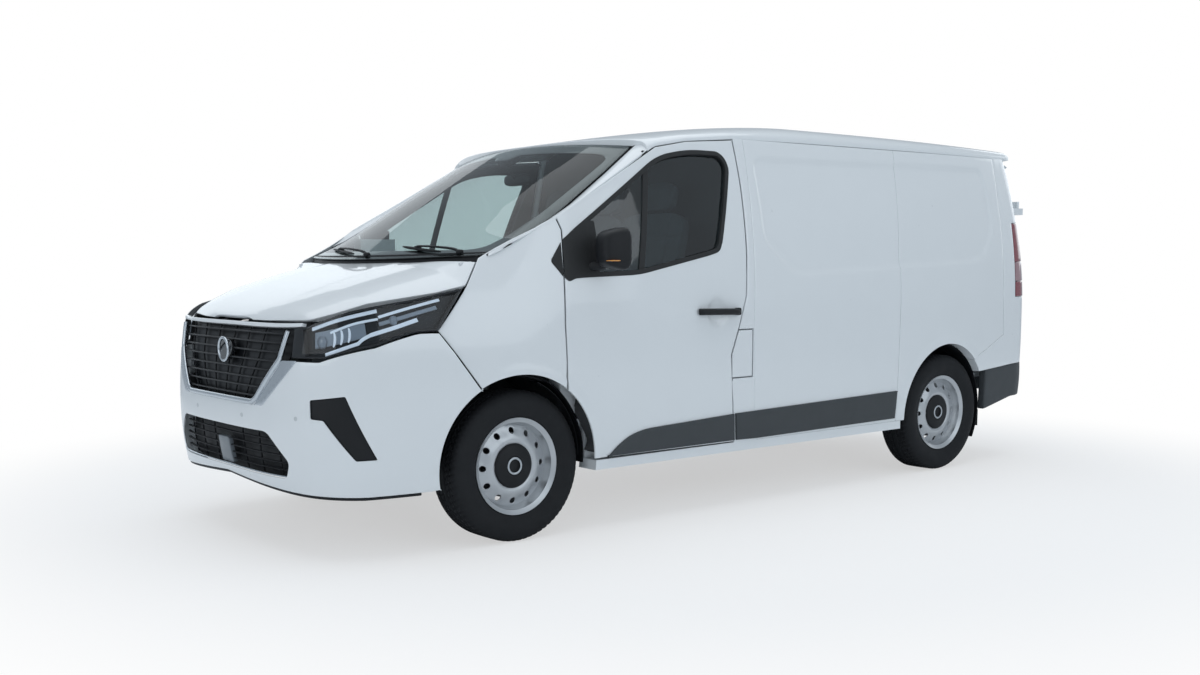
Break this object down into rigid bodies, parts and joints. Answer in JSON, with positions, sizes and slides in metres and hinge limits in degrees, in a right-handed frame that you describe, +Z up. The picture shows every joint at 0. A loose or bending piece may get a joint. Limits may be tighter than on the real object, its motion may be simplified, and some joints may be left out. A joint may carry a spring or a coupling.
{
  "type": "panel van",
  "caption": "Mid-size panel van with a low roof, hinged front and rear doors, opening bonnet and fuel flap, steered front wheels and a load space behind the cab.",
  "frame": {"origin": "on the ground, under the middle of the overall length and width", "axes": "+Z up; the front of the van faces -Y; +X is the left side of the van"},
  "size_m": [2.283, 5.0799, 1.971],
  "materials": {
    "white_paint": "gloss white",
    "chassis_paint": "satin black",
    "grey_metal": "satin",
    "bare_steel": "dull",
    "wheel_silver": "satin silver",
    "black_plastic": "grained black",
    "grey_plastic": "grained dark grey",
    "cab_plastic": "grained",
    "gloss_black": "gloss black",
    "lamp_lens": "clear lens over a dark reflector",
    "lamp_red": "red lens",
    "tinted_glass": "tinted",
    "clear_glass": "clear",
    "tyre_rubber": "matt",
    "seat_cloth": "woven"
  },
  "bodies": {
    "body": {"floor_pan": "white_paint", "wheel_arch_liners": "black_plastic", "hinge_pillars": "white_paint", "b_pillars": "white_paint", "side_panel_left": "white_paint", "side_panel_right": "white_paint", "sliding_door": "white_paint", "wings": "white_paint", "rear_pillars": "white_paint", "tail_lamps": "lamp_red", "roof": "white_paint", "windscreen": "clear_glass", "windscreen_pillars": "white_paint", "scuttle": "black_plastic", "front_bumper": "white_paint", "grille": "gloss_black", "headlamps": "lamp_lens", "rear_bumper": "grey_plastic", "side_mouldings": "grey_plastic", "bulkhead": "chassis_paint", "dashboard": "cab_plastic", "seats": "seat_cloth", "seat_bases": "cab_plastic", "engine": "grey_metal", "fuel_tank": "black_plastic", "exhaust": "bare_steel", "front_subframe": "chassis_paint", "rear_axle": "chassis_paint", "spare_wheel": "tyre_rubber"},
    "front_door_left": {"front_door_left": "white_paint", "door_glass_left": "tinted_glass", "mirror_left": "black_plastic", "door_trim_left": "grey_plastic"},
    "front_door_right": {"front_door_right": "white_paint", "door_glass_right": "tinted_glass", "mirror_right": "black_plastic", "door_trim_right": "grey_plastic"},
    "rear_door_left": {"rear_door_left": "white_paint"},
    "rear_door_right": {"rear_door_right": "white_paint"},
    "bonnet": {"bonnet": "white_paint"},
    "fuel_flap": {"fuel_flap": "white_paint"},
    "steering_wheel": {"steering_wheel": "cab_plastic"},
    "knuckle_left": {"knuckle_left": "grey_metal"},
    "knuckle_right": {"knuckle_right": "grey_metal"},
    "wheel_front_left": {"tyre_front_left": "tyre_rubber", "rim_front_left": "wheel_silver"},
    "wheel_front_right": {"tyre_front_right": "tyre_rubber", "rim_front_right": "wheel_silver"},
    "wheel_rear_left": {"tyre_rear_left": "tyre_rubber", "rim_rear_left": "wheel_silver"},
    "wheel_rear_right": {"tyre_rear_right": "tyre_rubber", "rim_rear_right": "wheel_silver"}
  },
  "joints": [
    {"name": "front_door_left_hinge", "type": "hinge", "parent": "body", "child": "front_door_left", "pos_m": [0.946, -1.2435, 0.8975], "axis": [0, 0, -1], "range_deg": [0, 70]},
    {"name": "front_door_right_hinge", "type": "hinge", "parent": "body", "child": "front_door_right", "pos_m": [-0.946, -1.2435, 0.8975], "axis": [0, 0, 1], "range_deg": [0, 70]},
    {"name": "rear_door_left_hinge", "type": "hinge", "parent": "body", "child": "rear_door_left", "pos_m": [0.79, 2.455, 1.23], "axis": [0, 0, -1], "range_deg": [0, 180]},
    {"name": "rear_door_right_hinge", "type": "hinge", "parent": "body", "child": "rear_door_right", "pos_m": [-0.79, 2.455, 1.23], "axis": [0, 0, 1], "range_deg": [0, 180]},
    {"name": "bonnet_hinge", "type": "hinge", "parent": "body", "child": "bonnet", "pos_m": [0, -1.664, 1.246], "axis": [-1, 0, 0], "range_deg": [0, 50]},
    {"name": "fuel_flap_hinge", "type": "hinge", "parent": "body", "child": "fuel_flap", "pos_m": [0.969, -0.122, 0.785], "axis": [0, 0, 1], "range_deg": [0, 90]},
    {"name": "steer_left", "type": "hinge", "parent": "body", "child": "knuckle_left", "pos_m": [0.748, -1.526, 0.343], "axis": [-0.2079, 0, 0.9781], "range_deg": [-32, 32]},
    {"name": "steer_right", "type": "hinge", "parent": "body", "child": "knuckle_right", "pos_m": [-0.748, -1.526, 0.343], "axis": [0.2079, 0, 0.9781], "range_deg": [-32, 32]},
    {"name": "steering_wheel_turn", "type": "hinge", "parent": "body", "child": "steering_wheel", "pos_m": [0.39, -0.985, 1.11], "axis": [0, 0.8829, 0.4695], "range_deg": [-540, 540]},
    {"name": "wheel_front_left_spin", "type": "hinge", "parent": "knuckle_left", "child": "wheel_front_left", "pos_m": [0.808, -1.526, 0.343], "axis": [1, 0, 0], "continuous": true},
    {"name": "wheel_front_right_spin", "type": "hinge", "parent": "knuckle_right", "child": "wheel_front_right", "pos_m": [-0.808, -1.526, 0.343], "axis": [1, 0, 0], "continuous": true},
    {"name": "wheel_rear_left_spin", "type": "hinge", "parent": "body", "child": "wheel_rear_left", "pos_m": [0.814, 1.572, 0.343], "axis": [1, 0, 0], "continuous": true},
    {"name": "wheel_rear_right_spin", "type": "hinge", "parent": "body", "child": "wheel_rear_right", "pos_m": [-0.814, 1.572, 0.343], "axis": [1, 0, 0], "continuous": true}
  ],
  "couplings": [
    {"joint": "steer_right", "follows": "steer_left", "ratio": 1},
    {"joint": "steering_wheel_turn", "follows": "steer_left", "ratio": 16}
  ]
}
